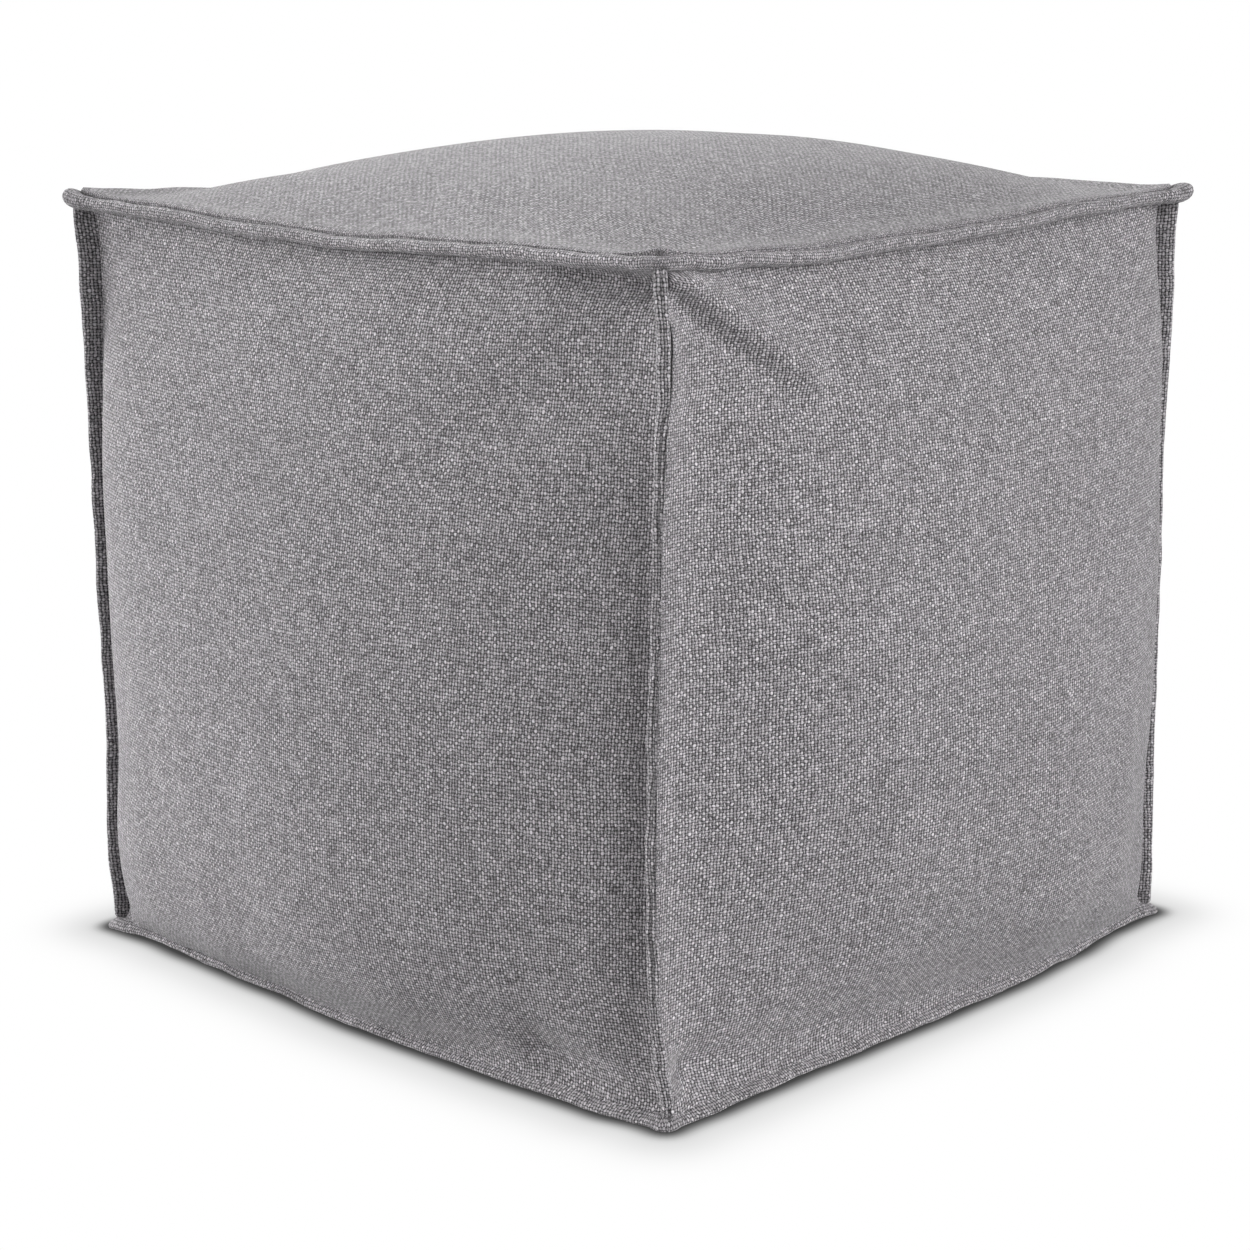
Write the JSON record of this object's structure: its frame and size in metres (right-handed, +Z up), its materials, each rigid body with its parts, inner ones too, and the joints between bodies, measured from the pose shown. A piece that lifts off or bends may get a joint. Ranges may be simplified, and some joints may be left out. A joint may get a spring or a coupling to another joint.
{
  "type": "cube pouf stool",
  "caption": "Stuffed cube pouf in grey basket-look cloth, with a crowned top, puffed sides and a standing flange along every seam.",
  "frame": {"origin": "on the floor, under the middle of the pouf's box", "axes": "+Z up from the floor, X and Y square to the side panels, with the picture's near corner at +X and -Y"},
  "size_m": [0.556, 0.5634, 0.4846],
  "materials": {
    "cloth_of_panels": "plain basket-look weave of grey heathered yarn, matt",
    "cloth_of_top_flange": "plain basket-look weave of grey heathered yarn, matt",
    "cloth_of_base_flange": "plain basket-look weave of grey heathered yarn, matt",
    "cloth_of_near_flange": "plain basket-look weave of grey heathered yarn, matt",
    "cloth_of_right_flange": "plain basket-look weave of grey heathered yarn, matt",
    "cloth_of_rear_flange": "plain basket-look weave of grey heathered yarn, matt",
    "cloth_of_left_flange": "plain basket-look weave of grey heathered yarn, matt"
  },
  "bodies": {
    "root": {"filled_body": "cloth_of_panels", "top_seam_flange": "cloth_of_top_flange", "base_seam_flange": "cloth_of_base_flange", "corner_flange_near": "cloth_of_near_flange", "corner_flange_right": "cloth_of_right_flange", "corner_flange_rear": "cloth_of_rear_flange", "corner_flange_left": "cloth_of_left_flange"}
  },
  "joints": []
}
